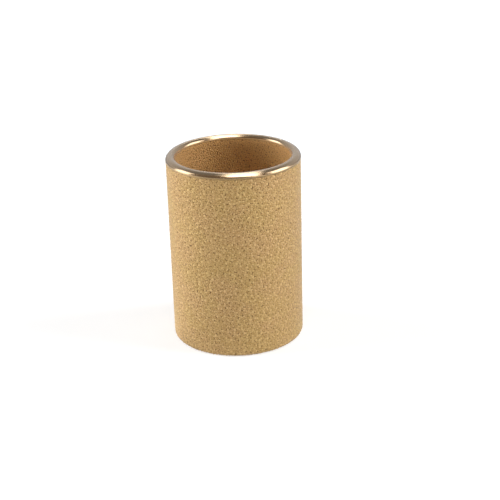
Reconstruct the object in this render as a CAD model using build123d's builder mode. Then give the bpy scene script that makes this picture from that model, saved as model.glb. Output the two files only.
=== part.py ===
from build123d import *
import os

# Filter stone: one open sleeve of bronze grains, sintered together so that air passes through its wall
# Millimetres, standing on Z = 0 with its axis along +Z and the origin at the centre of its base

# Driving dimensions
outer_diameter = 28.0
wall_thickness = 2.0
sleeve_height = 40.0

# The top end is turned and burnished into a lip, rounded on both sides of a narrow land
lip_outer_radius = 1.0
lip_inner_radius = 0.8

# The base is left as the mould made it, with a small corner on both sides of its seat
base_corner_radius = 0.5

outer_radius = outer_diameter / 2
bore_radius = outer_radius - wall_thickness


with BuildPart() as filter_sleeve:
    # Section of the wall, to the right of the axis, with X across the wall and Y up it
    with BuildSketch(Plane.XZ) as wall_section:
        with Locations((bore_radius, 0)):
            Rectangle(wall_thickness, sleeve_height, align=(Align.MIN, Align.MIN))
        base_corners = wall_section.vertices().group_by(Axis.Y)[0]
        fillet(base_corners, radius=base_corner_radius)
        lip_outer_corner = wall_section.vertices().group_by(Axis.Y)[-1].sort_by(Axis.X)[-1]
        fillet(lip_outer_corner, radius=lip_outer_radius)
        lip_inner_corner = wall_section.vertices().group_by(Axis.Y)[-1].sort_by(Axis.X)[0]
        fillet(lip_inner_corner, radius=lip_inner_radius)

    # One full turn of that section is the whole sleeve, with its bore open at both ends
    revolve(axis=Axis.Z)

filter_sleeve.part.label = "filter_sleeve"

os.makedirs("parts", exist_ok=True)
export_step(filter_sleeve.part, "parts/filter_sleeve.step")
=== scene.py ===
import math
import random

import bmesh
import bpy
from mathutils import Matrix, Vector


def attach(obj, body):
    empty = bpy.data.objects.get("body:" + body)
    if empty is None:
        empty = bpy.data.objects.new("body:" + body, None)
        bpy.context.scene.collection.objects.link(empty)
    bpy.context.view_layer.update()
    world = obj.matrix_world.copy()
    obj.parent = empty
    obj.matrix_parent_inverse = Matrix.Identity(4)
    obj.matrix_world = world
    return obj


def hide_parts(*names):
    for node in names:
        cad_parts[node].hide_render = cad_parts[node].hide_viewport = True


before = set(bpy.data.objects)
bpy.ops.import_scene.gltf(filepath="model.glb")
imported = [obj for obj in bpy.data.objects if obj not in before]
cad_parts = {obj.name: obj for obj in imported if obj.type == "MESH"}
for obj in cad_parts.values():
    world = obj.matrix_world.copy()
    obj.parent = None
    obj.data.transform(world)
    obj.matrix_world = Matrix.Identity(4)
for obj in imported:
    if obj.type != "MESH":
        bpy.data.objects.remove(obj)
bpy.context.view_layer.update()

# Filter stone: a sleeve of fused bronze grains with one burnished lip, on a pale floor under soft light.
# Lengths are in metres, and the sleeve's own measures are those of its solid.
MM = 0.001

outer_radius = 14.0 * MM
bore_radius = 12.0 * MM
sleeve_height = 40.0 * MM
lip_outer_rounding = 1.0 * MM
lip_inner_rounding = 0.8 * MM
base_rounding = 0.5 * MM

# The grains start in rings round the sleeve, from the lip down the outside, round the base and up
# the bore. Each stir moves every grain by up to a share of the gap to the next one, and then they
# settle, until the rings no longer show.
grains_round = 174
grain_rings = 182
grain_seed = 40
grain_stirs = 4
grain_wander = 0.34
grain_settles = 3
settle_share = 0.5

# The grains' crowns lie just under the solid's surface, and the pores between them deeper. Pores are
# tight or open, on a scale from 0 to 1, and some of the open ones are joined in pairs.
crown_sink = 0.05 * MM
pore_depth = (0.14 * MM, 0.26 * MM)
tight_pore = (0.2, 0.5)
open_pore = (0.8, 1.0)
joined_pores = 0.4

# The lip is carried round each of its roundings in even steps. Its burnish fades in two steps to each
# foot, where it ends in an uneven line.
lip_steps = 8
burnish_creep = 0.22 * MM
foot_burnish = 0.5
low_burnish = 0.75
full_burnish = 1.0

# Points this close become one point: where the net of grains meets itself, and where the lip's last
# ring meets the grains, whose own ring has crept down from it.
net_join = 0.01 * MM
foot_join = 0.3 * MM


def linear(red, green, blue):
    """A colour picked on screen, from 0 to 255, as the linear values that Blender mixes."""
    def channel(value):
        value /= 255
        return value / 12.92 if value <= 0.04045 else ((value + 0.055) / 1.055) ** 2.4
    return (channel(red), channel(green), channel(blue), 1.0)


# The section of the wall


def section_runs():
    """The wall's outline as straight runs and roundings, clockwise from the foot of the lip outside."""
    wall_foot = base_rounding
    outside = outer_radius - base_rounding
    inside = bore_radius + base_rounding
    lip_foot_out = sleeve_height - lip_outer_rounding
    lip_foot_in = sleeve_height - lip_inner_rounding
    quarter = math.pi / 2
    return [
        ("run", (outer_radius, lip_foot_out), (outer_radius, wall_foot), (1, 0)),
        ("turn", (outside, wall_foot), base_rounding, 0.0, -quarter),
        ("run", (outside, 0.0), (inside, 0.0), (0, -1)),
        ("turn", (inside, wall_foot), base_rounding, -quarter, -2 * quarter),
        ("run", (bore_radius, wall_foot), (bore_radius, lip_foot_in), (-1, 0)),
        ("turn", (bore_radius + lip_inner_rounding, lip_foot_in), lip_inner_rounding, math.pi, quarter),
        ("run", (bore_radius + lip_inner_rounding, sleeve_height),
         (outer_radius - lip_outer_rounding, sleeve_height), (0, 1)),
        ("turn", (outer_radius - lip_outer_rounding, lip_foot_out), lip_outer_rounding, quarter, 0.0),
    ]


def run_length(run):
    if run[0] == "run":
        return math.dist(run[1], run[2])
    return run[2] * abs(run[4] - run[3])


# The first five runs are granular, and the last three are the lip
granular_runs = 5
wall_runs = section_runs()
wall_lengths = [run_length(run) for run in wall_runs]
granular_length = sum(wall_lengths[:granular_runs])
section_length = sum(wall_lengths)


def on_section(travel):
    """Radius and height of the point that far along the outline, and the outward direction there."""
    for run, length in zip(wall_runs, wall_lengths):
        if travel <= length:
            break
        travel -= length
    part = min(max(travel / length, 0.0), 1.0)
    if run[0] == "run":
        (r0, z0), (r1, z1) = run[1], run[2]
        return r0 + (r1 - r0) * part, z0 + (z1 - z0) * part, run[3]
    (r, z), size, first, last = run[1:]
    angle = first + (last - first) * part
    out = (math.cos(angle), math.sin(angle))
    return r + size * out[0], z + size * out[1], out


# The sleeve, which is a straight tube until its points are put on the section, with a point's height
# up the tube as its travel along the outline


def place_on_tube(vert, angle, height):
    vert.co = (outer_radius * math.cos(angle), outer_radius * math.sin(angle), height)


def grain_net():
    """A straight tube of triangles with a grain at each corner, as tall as the granular outline is long."""
    net = bmesh.new()
    bmesh.ops.create_grid(net, x_segments=grains_round, y_segments=grain_rings, size=0.5)
    for vert in net.verts:
        column = round((vert.co.x + 0.5) * grains_round)
        ring = round((vert.co.y + 0.5) * grain_rings)
        angle = (column + ring / 2) * 2 * math.pi / grains_round
        place_on_tube(vert, angle, granular_length * ring / grain_rings)
    bmesh.ops.remove_doubles(net, verts=net.verts[:], dist=net_join)
    bmesh.ops.triangulate(net, faces=net.faces[:], quad_method="SHORT_EDGE")
    return net


def join_neighbours(net):
    """Turns the edges so that each grain is joined to the ones nearest to it."""
    inner_edges = [edge for edge in net.edges if not edge.is_boundary]
    bmesh.ops.beautify_fill(net, faces=net.faces[:], edges=inner_edges, method="ANGLE")


def shuffle_grains(net, dice):
    """Stirs the grains until no rings are left, then lets them settle at even distances."""
    ring_gap = granular_length / grain_rings
    grain_turn = 2 * math.pi / grains_round
    free_grains = [vert for vert in net.verts if not vert.is_boundary]
    for stir in range(grain_stirs):
        for vert in free_grains:
            angle = math.atan2(vert.co.y, vert.co.x) + dice.uniform(-1, 1) * grain_wander * grain_turn
            height = vert.co.z + dice.uniform(-1, 1) * grain_wander * ring_gap
            height = min(max(height, ring_gap / 3), granular_length - ring_gap / 3)
            place_on_tube(vert, angle, height)
        join_neighbours(net)
    for settle in range(grain_settles):
        bmesh.ops.smooth_vert(net, verts=free_grains, factor=settle_share,
                              use_axis_x=True, use_axis_y=True, use_axis_z=True)
        join_neighbours(net)


def grain_tones(net, dice):
    """A tone from 0 to 1 for every grain, apart from its neighbours' tones, so that no blotches form."""
    draws = {vert: dice.random() for vert in net.verts}
    tones = {}
    for vert in net.verts:
        around = [draws[edge.other_vert(vert)] for edge in vert.link_edges]
        tones[vert] = min(max(0.5 + draws[vert] - sum(around) / len(around), 0.0), 1.0)
    return tones


def make_pores(net, is_grain, groove):
    """Puts a pore between every three grains, so that each grain is a fan of faces round its crown."""
    for vert in net.verts:
        vert[is_grain] = 1
    between_grains = [edge for edge in net.edges if not edge.is_boundary]
    for pore in bmesh.ops.poke(net, faces=net.faces[:], center_mode="MEAN")["verts"]:
        pore[is_grain] = 0
        pore[groove] = 1.0
    bmesh.ops.rotate_edges(net, edges=between_grains, use_ccw=False)


def open_pores(net, is_grain, dice):
    """How open each pore is, from 0 to 1: some are wide open, alone or joined to one beside them, and
    all round those the pores are tight."""
    pores = [vert for vert in net.verts if not vert[is_grain]]
    dice.shuffle(pores)

    def beside(pore):
        around = (edge.other_vert(pore) for edge in pore.link_edges)
        return [vert for vert in around if not vert[is_grain]]

    openness = {}
    for pore in pores:
        if pore in openness:
            continue
        wide = [pore]
        free = [near for near in beside(pore) if near not in openness]
        if free and dice.random() < joined_pores:
            wide.append(dice.choice(free))
        for vert in wide:
            openness[vert] = dice.uniform(*open_pore)
        for near in beside(wide[0]) + beside(wide[-1]):
            for vert in [near] + beside(near):
                openness.setdefault(vert, dice.uniform(*tight_pore))
    return openness


def raise_lip(net):
    """Carries the bore's last ring over the lip in even steps, until it meets the outside's first ring."""
    ring = [edge for edge in net.edges if edge.is_boundary and edge.verts[0].co.z > granular_length / 2]
    stops = []
    travel = granular_length
    for length, steps in zip(wall_lengths[granular_runs:], (lip_steps, 1, lip_steps)):
        stops += [travel + length * (step + 1) / steps for step in range(steps)]
        travel += length
    lip_verts = []
    for stop in stops:
        grown = bmesh.ops.extrude_edge_only(net, edges=ring)["geom"]
        ring = [item for item in grown if isinstance(item, bmesh.types.BMEdge) and item.is_boundary]
        ring_verts = [item for item in grown if isinstance(item, bmesh.types.BMVert)]
        for vert in ring_verts:
            vert.co.z = stop
        lip_verts += ring_verts
    return lip_verts


def unroll(net, layer):
    """Lays the tube out flat as the piece's own map: round the sleeve across, along the outline up."""
    border = 0.004
    for face in net.faces:
        centre = face.calc_center_median()
        middle = math.atan2(centre.y, centre.x)
        for loop in face.loops:
            angle = math.atan2(loop.vert.co.y, loop.vert.co.x)
            angle = middle + math.remainder(angle - middle, 2 * math.pi)
            across = 0.5 + angle / (2 * math.pi)
            along = loop.vert.co.z / section_length
            loop[layer].uv = (border + (1 - 2 * border) * across, border + (1 - 2 * border) * along)


def paint_grains(net, tones, openness, foot_rings, lip_verts):
    """Paints every face corner: red is the tone of its grain, green and blue are how open the first and
    the second pore of the face are, and alpha is how burnished it is. Grains are creased where they
    meet, and so are the feet of the lip."""
    paint = net.loops.layers.float_color.new("grain")
    burnish = dict.fromkeys(lip_verts, full_burnish)
    burnish.update(dict.fromkeys(lip_verts[:grains_round], low_burnish))
    burnish.update(dict.fromkeys(lip_verts[-2 * grains_round:-grains_round], low_burnish))
    burnish.update(dict.fromkeys(foot_rings + lip_verts[-grains_round:], foot_burnish))
    lip_faces = set()
    for face in net.faces:
        face.smooth = True
        if all(vert in burnish for vert in face.verts):
            lip_faces.add(face)
            for loop in face.loops:
                loop[paint] = (0.5, 0.0, 0.0, burnish[loop.vert])
            continue
        crown = next(vert for vert in face.verts if vert in tones)
        tone = tones[crown]
        pores_met = 0
        for loop in face.loops:
            if loop.vert in openness:
                pores_met += 1
                first = openness[loop.vert] if pores_met == 1 else 0.0
                second = openness[loop.vert] if pores_met == 2 else 0.0
                loop[paint] = (tone, first, second, 0.0)
            else:
                loop[paint] = (tone, 0.0, 0.0, burnish.get(loop.vert, 0.0))
    for edge in net.edges:
        between_grains = all(vert in openness for vert in edge.verts)
        lip_foot = len({face in lip_faces for face in edge.link_faces}) == 2
        if between_grains or lip_foot:
            edge.smooth = False


def wrap_on_section(vert, depth):
    """Takes a point from the tube to its place on the section, that deep under the solid's surface."""
    radius, height, out = on_section(vert.co.z)
    angle = math.atan2(vert.co.y, vert.co.x)
    radius -= depth * out[0]
    height -= depth * out[1]
    vert.co = (radius * math.cos(angle), radius * math.sin(angle), height)


def sort_faces(net):
    """Puts the faces in the order of their corners, because those of the lip come in another order on
    each run."""
    net.verts.index_update()
    count = len(net.verts)

    def place(face):
        first, second, third = sorted(vert.index for vert in face.verts)[:3]
        return (first * count + second) * count + third

    net.faces.sort(key=place)


def new_piece(name, mesh_build):
    mesh = bpy.data.meshes.new(name)
    mesh_build.to_mesh(mesh)
    mesh_build.free()
    piece = bpy.data.objects.new(name, mesh)
    bpy.context.scene.collection.objects.link(piece)
    return piece


def make_sleeve():
    """The whole sleeve as one closed mesh: grains and pores all round, and the lip on top."""
    dice = random.Random(grain_seed)
    net = grain_net()
    is_grain = net.verts.layers.int.new("is_grain")
    groove = net.verts.layers.float.new("groove")
    shuffle_grains(net, dice)
    tones = grain_tones(net, dice)
    make_pores(net, is_grain, groove)
    openness = open_pores(net, is_grain, dice)
    foot_rings = [vert for vert in net.verts if vert.is_boundary]
    lip_verts = raise_lip(net)
    unroll(net, net.loops.layers.uv.new("OFBake"))
    paint_grains(net, tones, openness, foot_rings, lip_verts)

    burnished = set(lip_verts) | set(foot_rings)
    shallow, deep = pore_depth
    for vert in net.verts:
        if vert in burnished:
            depth = 0.0
        elif vert[is_grain]:
            depth = crown_sink * dice.random() ** 2
        else:
            depth = shallow + (deep - shallow) * openness[vert]
        wrap_on_section(vert, depth)
    for vert in foot_rings:
        vert.co.z -= burnish_creep * dice.random() ** 2

    bmesh.ops.remove_doubles(net, verts=foot_rings + lip_verts[-grains_round:], dist=foot_join)
    bmesh.ops.recalc_face_normals(net, faces=net.faces[:])
    sort_faces(net)
    return new_piece("sintered_sleeve", net)


# Materials


class Nodes:
    """Places shader nodes in one tree and joins them."""

    def __init__(self, material):
        material.use_nodes = True
        self.tree = material.node_tree
        self.tree.nodes.clear()

    def add(self, kind, inputs=None, **settings):
        node = self.tree.nodes.new("ShaderNode" + kind)
        for name, value in settings.items():
            setattr(node, name, value)
        for name, value in (inputs or {}).items():
            self.feed(node.inputs[name], value)
        return node

    def feed(self, socket, value):
        if isinstance(value, bpy.types.NodeSocket):
            self.tree.links.new(value, socket)
        else:
            socket.default_value = value

    def maths(self, operation, first, second=0.0, clamp=False):
        node = self.add("Math", {0: first, 1: second}, operation=operation, use_clamp=clamp)
        return node.outputs[0]

    def spread(self, value, low, high, to_low, to_high):
        """Takes low to high onto to_low to to_high, and stays there beyond them."""
        node = self.add("MapRange", {"Value": value, "From Min": low, "From Max": high,
                                     "To Min": to_low, "To Max": to_high})
        return node.outputs["Result"]

    def mix(self, factor, first, second):
        """A number from first to second."""
        node = self.add("Mix", data_type="FLOAT")
        self.feed(node.inputs[0], factor)
        self.feed(node.inputs[2], first)
        self.feed(node.inputs[3], second)
        return node.outputs[0]

    def blend(self, factor, first, second, kind="MIX"):
        """A colour from first to second."""
        node = self.add("Mix", data_type="RGBA", blend_type=kind)
        self.feed(node.inputs[0], factor)
        self.feed(node.inputs[6], first)
        self.feed(node.inputs[7], second)
        return node.outputs[2]


# Colours of the bronze, of painted shade and of painted light, and how much of each is laid over the grains
dark_grain = linear(187, 154, 101)
pale_grain = linear(214, 182, 128)
# Painted light: the bore is tinted warmer, standing in for the light bounced round inside it
painted_bore_bounce, painted_bore_bounce_share = linear(217, 169, 105), 0.7
# Painted shade along the grooves between the grains
seam_shade, seam_shade_share = linear(110, 76, 44), 0.3
# Painted shade in the pores
pore_shade, pore_shade_share = linear(80, 50, 28), 0.72
# Painted dark reflection along each foot of the lip
foot_dark_reflection, foot_reflection_share = linear(74, 50, 32), 0.35
burnished_bronze = linear(214, 187, 153)

# Colours that tint the grains where tarnish is least and most
clean_tint = (1, 0.98, 1, 1)
tarnish_tint = (0.99, 1, 0.93, 1)

# How many patches of tarnish and bumps of skin there are to a metre, and how high the bumps are
tarnish_patches = 200.0
skin_bumps = 9000.0
skin_relief = 0.02 * MM

# The grains are half metal, with smoother crowns and rougher pores, and the lip is all metal. A thin
# haze lies over both.
grain_rough = (0.58, 0.72)
crown_polish = 0.12
pore_roughness = 0.15
lip_rough = 0.14
grain_metal = 0.5
haze = 0.3
haze_rough = 0.4


def sintered_bronze():
    """Fused grains in slightly different tones with painted shade in the pores and grooves between them,
    painted bounce light in the bore, a painted dark reflection at the lip's feet, and a clean metal lip.
    """
    material = bpy.data.materials.new("sintered_bronze")
    nodes = Nodes(material)
    place = nodes.add("TexCoord").outputs["Object"]
    paint = nodes.add("Attribute", attribute_name="grain").outputs
    parts = nodes.add("SeparateColor", {"Color": paint["Color"]}).outputs
    groove = nodes.add("Attribute", attribute_name="groove").outputs["Fac"]

    # Masks from 0 to 1
    # Where the painted shade of the pores lies, and where they are rougher
    pore = nodes.spread(nodes.maths("ADD", parts["Green"], parts["Blue"]), 0.45, 0.88, 0.0, 1.0)
    # Where the painted shade of the grooves lies
    seam = nodes.spread(groove, 0.55, 1.0, 0.0, 1.0)
    crown = nodes.spread(groove, 0.1, 0.6, 1.0, 0.0)
    burnished = nodes.spread(paint["Alpha"], 0.6, 0.95, 0.0, 1.0)
    # Where the painted dark reflection along the lip's feet lies
    off_foot = nodes.maths("ABSOLUTE", nodes.maths("SUBTRACT", paint["Alpha"], foot_burnish))
    foot_reflection_line = nodes.spread(off_foot, 0.2, 0.4, 1.0, 0.0)
    where = nodes.add("SeparateXYZ", {"Vector": place}).outputs
    off_axis = nodes.maths("SQRT", nodes.maths("ADD", nodes.maths("MULTIPLY", where["X"], where["X"]),
                                               nodes.maths("MULTIPLY", where["Y"], where["Y"])))
    # The bore, where the painted bounce light goes
    inside = nodes.spread(off_axis, 12.3 * MM, 13.0 * MM, 1.0, 0.0)
    skin = nodes.add("TexNoise", {"Vector": place, "Scale": skin_bumps, "Detail": 3.0}).outputs["Fac"]
    tarnish = nodes.add("TexNoise", {"Vector": place, "Scale": tarnish_patches, "Detail": 2.0})
    tarnish = nodes.spread(tarnish.outputs["Fac"], 0.38, 0.62, 0.0, 1.0)

    few_pale = nodes.maths("POWER", parts["Red"], 1.4)
    colour = nodes.blend(few_pale, dark_grain, pale_grain)
    colour = nodes.blend(1.0, colour, nodes.blend(tarnish, clean_tint, tarnish_tint), "MULTIPLY")
    # Painted warm bounce light inside the bore
    colour = nodes.blend(nodes.maths("MULTIPLY", inside, painted_bore_bounce_share), colour, painted_bore_bounce)
    # Painted shade in the grooves
    colour = nodes.blend(nodes.maths("MULTIPLY", seam, seam_shade_share), colour, seam_shade)
    # Painted shade in the pores
    colour = nodes.blend(nodes.maths("MULTIPLY", pore, pore_shade_share), colour, pore_shade)
    # Painted dark reflection at the lip's feet
    colour = nodes.blend(nodes.maths("MULTIPLY", foot_reflection_line, foot_reflection_share), colour, foot_dark_reflection)
    colour = nodes.blend(burnished, colour, burnished_bronze)

    rough = nodes.spread(skin, 0.3, 0.7, *grain_rough)
    rough = nodes.maths("SUBTRACT", rough, nodes.maths("MULTIPLY", crown, crown_polish))
    rough = nodes.maths("ADD", rough, nodes.maths("MULTIPLY", pore, pore_roughness))
    rough = nodes.mix(burnished, rough, lip_rough)
    metal = nodes.spread(burnished, 0.0, 1.0, grain_metal, 1.0)

    bump = nodes.add("Bump", {"Height": skin, "Strength": 0.5, "Distance": skin_relief})
    shader = nodes.add("BsdfPrincipled", {
        "Base Color": colour, "Roughness": rough, "Metallic": metal, "Normal": bump.outputs["Normal"],
        "Sheen Weight": haze, "Sheen Roughness": haze_rough})
    nodes.add("OutputMaterial", {"Surface": shader.outputs["BSDF"]})
    return material


# The studio. Directions are in degrees, seen from the sleeve: azimuth 0 is towards the camera, and
# azimuths grow towards the camera's right.

white = (1, 1, 1, 1)

photo_side = 500
camera_elevation = math.radians(22.36)
camera_roll = math.radians(1.96)
camera_distance = 251.6 * MM
focal_pixels = 1184.4
middle_on_photo = (236.07, 242.43)
sleeve_middle = Vector((0, 0, sleeve_height / 2))


def place_camera():
    """The photograph's own view, found by fitting the sleeve's outline to it."""
    back = Vector((0, -math.cos(camera_elevation), math.sin(camera_elevation)))
    right = Vector((1, 0, 0))
    facing = Matrix((right, back.cross(right), back))
    roll = Matrix.Rotation(camera_roll, 3, "Z")
    half = photo_side / 2
    sight = Vector(((middle_on_photo[0] - half) / focal_pixels,
                    (half - middle_on_photo[1]) / focal_pixels, -1.0))
    aim = Vector((0, 0, -1)).rotation_difference(sight).to_matrix()
    data = bpy.data.cameras.new("camera")
    data.sensor_width = 36.0
    data.lens = data.sensor_width * focal_pixels / photo_side
    data.clip_start = 0.01
    data.clip_end = 20.0
    camera = bpy.data.objects.new("camera", data)
    bpy.context.scene.collection.objects.link(camera)
    turned = (aim @ roll @ facing).transposed().to_4x4()
    camera.matrix_world = Matrix.Translation(sleeve_middle + back * camera_distance) @ turned
    bpy.context.scene.camera = camera


def white_when_seen(nodes):
    """1 for a ray from the camera, off metal or through glass, which all show the background."""
    path = nodes.add("LightPath").outputs
    seen = nodes.maths("ADD", path["Is Camera Ray"], path["Is Glossy Ray"])
    return nodes.maths("ADD", seen, path["Is Transmission Ray"], clamp=True)


def light_world():
    """Air that is white to look at and lights the sleeve only a little."""
    world = bpy.data.worlds.new("studio")
    bpy.context.scene.world = world
    nodes = Nodes(world)
    dim_air = nodes.add("Background", {"Color": white, "Strength": 0.1})
    white_air = nodes.add("Background", {"Color": white, "Strength": 1.0})
    air = nodes.add("MixShader", {0: white_when_seen(nodes), 1: dim_air.outputs[0], 2: white_air.outputs[0]})
    nodes.add("OutputWorld", {"Surface": air.outputs[0]})


# The floor's glow grows between two distances from the sleeve
floor_half = 3.0
floor_grey = (0.6, 0.6, 0.6, 1)
floor_glow = (0.5, 1.0)
floor_glow_grows = (0.15, 0.5)


def floor_finish():
    """Matt grey that is lifted to white, less so near the sleeve, where its shadow lies."""
    material = bpy.data.materials.new("pale_floor")
    nodes = Nodes(material)
    place = nodes.add("TexCoord").outputs["Object"]
    away = nodes.add("VectorMath", {0: place}, operation="LENGTH").outputs["Value"]
    matt = nodes.add("BsdfDiffuse", {"Color": floor_grey})
    glow = nodes.spread(away, *floor_glow_grows, *floor_glow)
    lift = nodes.add("Emission", {"Color": white,
                                  "Strength": nodes.maths("MULTIPLY", white_when_seen(nodes), glow)})
    both = nodes.add("AddShader", {0: matt.outputs[0], 1: lift.outputs[0]})
    nodes.add("OutputMaterial", {"Surface": both.outputs[0]})
    return material


def lay_floor():
    sheet = bmesh.new()
    bmesh.ops.create_grid(sheet, x_segments=1, y_segments=1, size=floor_half)
    floor = new_piece("studio_floor", sheet)
    floor.data.materials.append(floor_finish())


# The tent's side panels lie between two azimuths and two elevations. The overhead panel runs from
# above the camera to behind the sleeve, and its sides would meet a little past its far end.
tent_radius = 1.5
left_panel = ((-111, -80), (-40, 38))
right_panel = ((67, 105), (-40, 42))
overhead_sides = (-0.1, 0.4)
overhead_ends = (-1.15, 1.32)
overhead_sides_meet = 1.42
panel_glow = 2.7

# The tent is warm and dark towards the camera, neutral and paler behind the sleeve, and dim overhead
camera_side_tint = (1, 0.78, 0.55, 1)
far_side_tint = (1, 0.98, 0.96, 1)
tent_grey = (0.15, 0.43)
overhead_grey = 0.2

# The ground cloth is dim in front of the sleeve and behind it, and glows on both sides
ground_tint = (1, 0.95, 0.9, 1)
ground_grey = 0.17
ground_left_glow = 1.6
ground_right_glow = 0.45


def hang_tent():
    """A tent round the sleeve and a cloth on the floor, which are seen only in the sleeve's reflections,
    as flags and panels are set round a polished piece."""
    tent = bmesh.new()
    bmesh.ops.create_uvsphere(tent, u_segments=72, v_segments=36, radius=tent_radius)
    below_floor = [face for face in tent.faces if face.calc_center_median().z < 0]
    bmesh.ops.delete(tent, geom=below_floor, context="FACES")
    hang(tent, "studio_tent", tent_cloth())

    ground = bmesh.new()
    just_above_floor = Matrix.Translation((0, 0, 0.2 * MM))
    bmesh.ops.create_circle(ground, cap_ends=True, segments=72, radius=tent_radius, matrix=just_above_floor)
    hang(ground, "studio_ground_cloth", ground_cloth())


def hang(mesh_build, name, cloth):
    """Sets up a sheet of cloth that only reflections show."""
    sheet = new_piece(name, mesh_build)
    sheet.data.materials.append(cloth)
    sheet.visible_camera = False
    sheet.visible_diffuse = False
    sheet.visible_shadow = False
    sheet.visible_transmission = False


def tent_cloth():
    """Grey cloth with soft-edged white panels: one on each side, and one overhead that narrows from the
    front to the back."""
    cloth = bpy.data.materials.new("tent_cloth")
    nodes = Nodes(cloth)
    place = nodes.add("TexCoord").outputs["Object"]
    where = nodes.add("SeparateXYZ", {"Vector": place}).outputs
    azimuth = nodes.maths("ARCTAN2", where["X"], nodes.maths("MULTIPLY", where["Y"], -1.0))
    azimuth = nodes.maths("DEGREES", azimuth)
    elevation = nodes.maths("ARCSINE", nodes.maths("DIVIDE", where["Z"], tent_radius))
    elevation = nodes.maths("DEGREES", elevation)

    def between(value, first, last, edge):
        off_middle = nodes.maths("ABSOLUTE", nodes.maths("SUBTRACT", value, (first + last) / 2))
        half = (last - first) / 2
        return nodes.spread(off_middle, half - edge, half + edge, 1.0, 0.0)

    def side_panel(azimuths, elevations):
        return nodes.maths("MULTIPLY", between(azimuth, *azimuths, 3), between(elevation, *elevations, 4))

    left = side_panel(*left_panel)
    right = side_panel(*right_panel)
    aside = nodes.maths("DIVIDE", where["X"], nodes.maths("SUBTRACT", overhead_sides_meet, where["Y"]))
    overhead = nodes.maths("MULTIPLY", between(aside, *overhead_sides, 0.03),
                           between(where["Y"], *overhead_ends, 0.06))
    panel = nodes.maths("MAXIMUM", nodes.maths("MAXIMUM", left, right), overhead)

    tint = nodes.blend(nodes.spread(where["Y"], -0.9, 0.3, 0.0, 1.0), camera_side_tint, far_side_tint)
    tint = nodes.blend(panel, tint, white)
    grey = nodes.spread(where["Y"], -0.9, 0.9, *tent_grey)
    grey = nodes.mix(nodes.spread(elevation, 30, 55, 0.0, 1.0), grey, overhead_grey)
    glow = nodes.add("Emission", {"Color": tint, "Strength": nodes.mix(panel, grey, panel_glow)})
    nodes.add("OutputMaterial", {"Surface": glow.outputs[0]})
    return cloth


def ground_cloth():
    """Grey cloth that is pale on both sides of the sleeve, under the panels, and more so on its left."""
    cloth = bpy.data.materials.new("ground_cloth")
    nodes = Nodes(cloth)
    place = nodes.add("TexCoord").outputs["Object"]
    where = nodes.add("SeparateXYZ", {"Vector": place}).outputs
    off_side = nodes.maths("ABSOLUTE", nodes.maths("ARCTAN2", where["Y"], where["X"]))
    off_front = nodes.maths("ABSOLUTE", nodes.maths("SUBTRACT", off_side, math.pi / 2))
    beside = nodes.spread(off_front, math.radians(62), math.radians(72), 0.0, 1.0)
    pale = nodes.spread(where["X"], -0.02, 0.02, ground_left_glow, ground_right_glow)
    glow = nodes.add("Emission", {"Color": ground_tint, "Strength": nodes.mix(beside, ground_grey, pale)})
    nodes.add("OutputMaterial", {"Surface": glow.outputs[0]})
    return cloth


def softbox(name, azimuth, elevation, distance, size, power):
    """An oblong area lamp that points at the sleeve's middle from that direction."""
    data = bpy.data.lights.new(name, "AREA")
    data.shape = "RECTANGLE"
    data.size, data.size_y = size
    data.energy = power
    lamp = bpy.data.objects.new(name, data)
    bpy.context.scene.collection.objects.link(lamp)
    azimuth, elevation = math.radians(azimuth), math.radians(elevation)
    back = Vector((math.sin(azimuth) * math.cos(elevation),
                   -math.cos(azimuth) * math.cos(elevation), math.sin(elevation)))
    lamp.location = sleeve_middle + back * distance
    lamp.rotation_mode = "QUATERNION"
    lamp.rotation_quaternion = (-back).to_track_quat("-Z", "Y")
    return lamp


def set_lamps():
    """Five soft lamps. Only the top one shows in the metal, which otherwise mirrors the tent's panels."""
    softbox("top_light", azimuth=15, elevation=66, distance=0.9, size=(0.6, 0.6), power=1.05)
    low_lamps = [
        softbox("left_light", azimuth=-97, elevation=21, distance=0.8, size=(0.41, 0.48), power=7.8),
        softbox("right_light", azimuth=84, elevation=34, distance=0.8, size=(0.4, 0.5), power=5.6),
        softbox("front_light", azimuth=-3, elevation=3, distance=0.8, size=(0.6, 0.11), power=5.9),
        softbox("back_light", azimuth=156, elevation=3, distance=0.8, size=(0.6, 0.11), power=5.0),
    ]
    for lamp in low_lamps:
        lamp.visible_glossy = False


bpy.context.scene.view_settings.view_transform = "Standard"
place_camera()
light_world()
lay_floor()
hang_tent()
set_lamps()

sleeve = make_sleeve()
sleeve.data.materials.append(sintered_bronze())
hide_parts("filter_sleeve")
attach(sleeve, "root")
